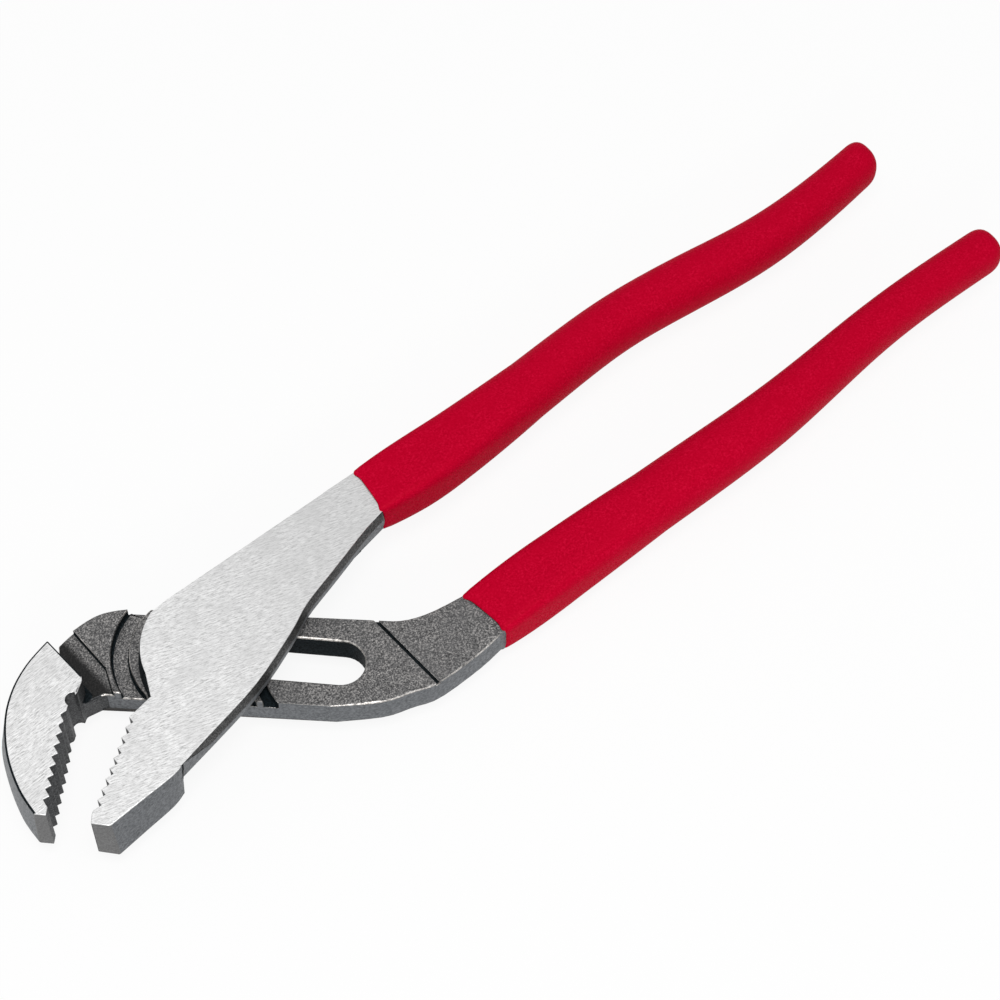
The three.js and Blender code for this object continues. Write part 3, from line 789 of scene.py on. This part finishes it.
def dipped_grip(name, node, body, slant, ahead):
    """A sleeve lofted along the solid's sections, with a slanted, sagging dip line and a rounded end."""
    low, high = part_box(node)
    mouth = low.x
    end_start = high.x - END_LENGTH
    places = np.linspace(mouth + MOUTH_INSET, end_start, GRIP_RINGS)
    rows = smoothed(cross_sections(node, places), SMOOTH_RINGS)
    reach = high.x - end_start
    slope = (rows[-1] - rows[-TREND_RINGS]) / (places[-1] - places[-TREND_RINGS])
    angles = (np.arange(RING_POINTS) + 0.5) / RING_POINTS * 2 * math.pi
    flat = np.cos(2 * angles) ** 2

    def ring(x, row, inset, corner, dip=0.0):
        c, s = np.cos(angles), np.sin(angles)
        y = row[0] + (row[2] - inset) * np.sign(c) * np.abs(c) ** (2 / corner)
        z = row[1] + (row[3] - inset) * np.sign(s) * np.abs(s) ** (2 / corner)
        line = DIP_SAG * (flat - 1) - slant * (y - row[0]) - ahead
        return np.stack([x + dip * line, y, z], axis=1)

    def corner_at(x):
        marks = (mouth, mouth + NECK_REACH, mouth + OVAL_REACH * (high.x - mouth))
        return np.interp(x, marks, (MOUTH_CORNER, NECK_CORNER, OVAL_CORNER))

    rings = []
    depths = np.linspace(end_start - INNER_END_GAP, mouth + INNER_MOUTH_GAP, INNER_RINGS)
    inner = [(x, SLEEVE_WALL) for x in depths]
    inner.append((mouth + ROOT_REACH + ROOT_GAP, LIP_THICKNESS * LIP_ROOT))
    inner.append((mouth + LIP_DEPTH, LIP_THICKNESS))
    for x, inset in inner:
        row = np.array([np.interp(x, places, rows[:, k]) for k in range(4)])
        rings.append(ring(x, row, inset, corner_at(x)))
    for step in range(LIP_STEPS + 1):
        turn = math.pi / 2 * step / LIP_STEPS
        inset = LIP_THICKNESS * (1 - math.sin(turn))
        lip = LIP_THICKNESS * LIP_STRETCH * (1 - math.cos(turn))
        rings.append(ring(mouth + lip, rows[0], inset, MOUTH_CORNER, 1.0))
    for x, row in zip(places[FIRST_RING:], rows[FIRST_RING:]):
        fade = max(0.0, 1 - (x - mouth) / DIP_FADE)
        rings.append(ring(x, row, 0.0, corner_at(x), fade))
    for step in range(1, END_STEPS):
        share = math.sin(math.pi / 2 * step / END_STEPS)
        size = (1 - share ** END_CORNER) ** (1 / END_CORNER)
        row = rows[-1] + slope * share * reach
        row[2:] = rows[-1][2:] * size
        rings.append(ring(end_start + share * reach, row, 0.0, OVAL_CORNER))

    bm = bmesh.new()
    grid = [[bm.verts.new(p) for p in points] for points in rings]
    for first, second in zip(grid, grid[1:]):
        for k in range(RING_POINTS):
            after = (k + 1) % RING_POINTS
            bm.faces.new((first[k], first[after], second[after], second[k]))
    end_row = rows[-1] + slope * reach
    tip = bm.verts.new((high.x, end_row[0], end_row[1]))
    inner_end = bm.verts.new((rings[0][0][0], *rings[0][:, 1:].mean(axis=0)))
    for k in range(RING_POINTS):
        after = (k + 1) % RING_POINTS
        bm.faces.new((grid[-1][k], grid[-1][after], tip))
        bm.faces.new((grid[0][after], grid[0][k], inner_end))
    bmesh.ops.recalc_face_normals(bm, faces=bm.faces)
    mesh = bpy.data.meshes.new(name)
    bm.to_mesh(mesh)
    bm.free()
    mesh.materials.append(VINYL)
    mesh.polygons.foreach_set("use_smooth", [True] * len(mesh.polygons))
    return new_piece(name, mesh, node, body)


# Camera, floor and light

def make_camera():
    data = bpy.data.cameras.new("camera")
    data.lens = LENS
    data.clip_start = NEAR_CLIP
    camera = bpy.data.objects.new("camera", data)
    bpy.context.collection.objects.link(camera)
    turn = Matrix.Rotation(-TURN, 4, "Z") @ Matrix.Rotation(TILT, 4, "X")
    camera.matrix_world = Matrix.Translation(AIM) @ turn @ Matrix.Translation((0, 0, DISTANCE))
    bpy.context.scene.camera = camera


def seen_directly(nodes, links):
    """A factor that is 1 for rays that show a surface: from the camera, in a reflection or through glass."""
    path = nodes.new("ShaderNodeLightPath")
    either = nodes.new("ShaderNodeMath")
    either.operation = "MAXIMUM"
    links.new(path.outputs["Is Camera Ray"], either.inputs[0])
    links.new(path.outputs["Is Glossy Ray"], either.inputs[1])
    any_of = nodes.new("ShaderNodeMath")
    any_of.operation = "MAXIMUM"
    links.new(either.outputs[0], any_of.inputs[0])
    links.new(path.outputs["Is Transmission Ray"], any_of.inputs[1])
    return any_of.outputs[0]


def make_floor():
    bpy.ops.mesh.primitive_plane_add(size=FLOOR_SIZE, location=(0, 0, -FLOOR_DROP))
    floor = bpy.context.object
    floor.name = "floor"
    material = bpy.data.materials.new("white_floor")
    material.use_nodes = True
    nodes, links = material.node_tree.nodes, material.node_tree.links
    nodes.clear()
    diffuse = nodes.new("ShaderNodeBsdfDiffuse")
    diffuse.inputs["Color"].default_value = (FLOOR_TONE, FLOOR_TONE, FLOOR_TONE, 1)
    glow = nodes.new("ShaderNodeEmission")
    glow.inputs["Strength"].default_value = 1.0
    share = nodes.new("ShaderNodeMath")
    share.operation = "MULTIPLY"
    share.inputs[1].default_value = FLOOR_GLOW_SHARE
    links.new(seen_directly(nodes, links), share.inputs[0])
    blend = nodes.new("ShaderNodeMixShader")
    links.new(share.outputs[0], blend.inputs[0])
    links.new(diffuse.outputs[0], blend.inputs[1])
    links.new(glow.outputs[0], blend.inputs[2])
    output = nodes.new("ShaderNodeOutputMaterial")
    links.new(blend.outputs[0], output.inputs["Surface"])
    floor.data.materials.append(material)


def add_lamp(name, tilt, size, power):
    """A rectangular lamp over the tool, tilted from straight above towards the camera's side."""
    lamp = bpy.data.lights.new(name, "AREA")
    lamp.shape = "RECTANGLE"
    lamp.size, lamp.size_y = size
    lamp.energy = power
    holder = bpy.data.objects.new(name, lamp)
    bpy.context.collection.objects.link(holder)
    turn = Matrix.Rotation(-TURN, 4, "Z") @ Matrix.Rotation(math.radians(tilt), 4, "X")
    holder.matrix_world = Matrix.Translation(AIM) @ turn @ Matrix.Translation((0, 0, LAMP_HEIGHT))


def make_light():
    world = bpy.data.worlds.new("white_room")
    bpy.context.scene.world = world
    world.use_nodes = True
    nodes, links = world.node_tree.nodes, world.node_tree.links
    background = nodes["Background"]
    background.inputs["Color"].default_value = (1, 1, 1, 1)
    strength = nodes.new("ShaderNodeMapRange")
    strength.inputs["To Min"].default_value = ROOM_LIGHT
    strength.inputs["To Max"].default_value = 1.0
    links.new(seen_directly(nodes, links), strength.inputs["Value"])
    links.new(strength.outputs["Result"], background.inputs["Strength"])
    add_lamp("softbox", tilt=18, size=(0.36, 0.3), power=3.9)
    add_lamp("low_strip", tilt=60, size=(0.3, 0.08), power=1.3)


make_camera()
make_floor()
make_light()
front_half()
rear_half()
pivot_piece("pivot_bolt", "pivot_stud", "front", rounding=0.2 * MM)
pivot_piece("flat_washer", "pivot_washer", "slider", rounding=0.15 * MM)
pivot_piece("hex_nut", "pivot_nut", "front", rounding=0.15 * MM)
dipped_grip("front_sleeve", "front_grip", "front", slant=-0.09, ahead=0.3 * MM)
dipped_grip("rear_sleeve", "rear_grip", "rear", slant=0.16, ahead=-0.1 * MM)
bpy.context.scene.view_settings.view_transform = "Standard"
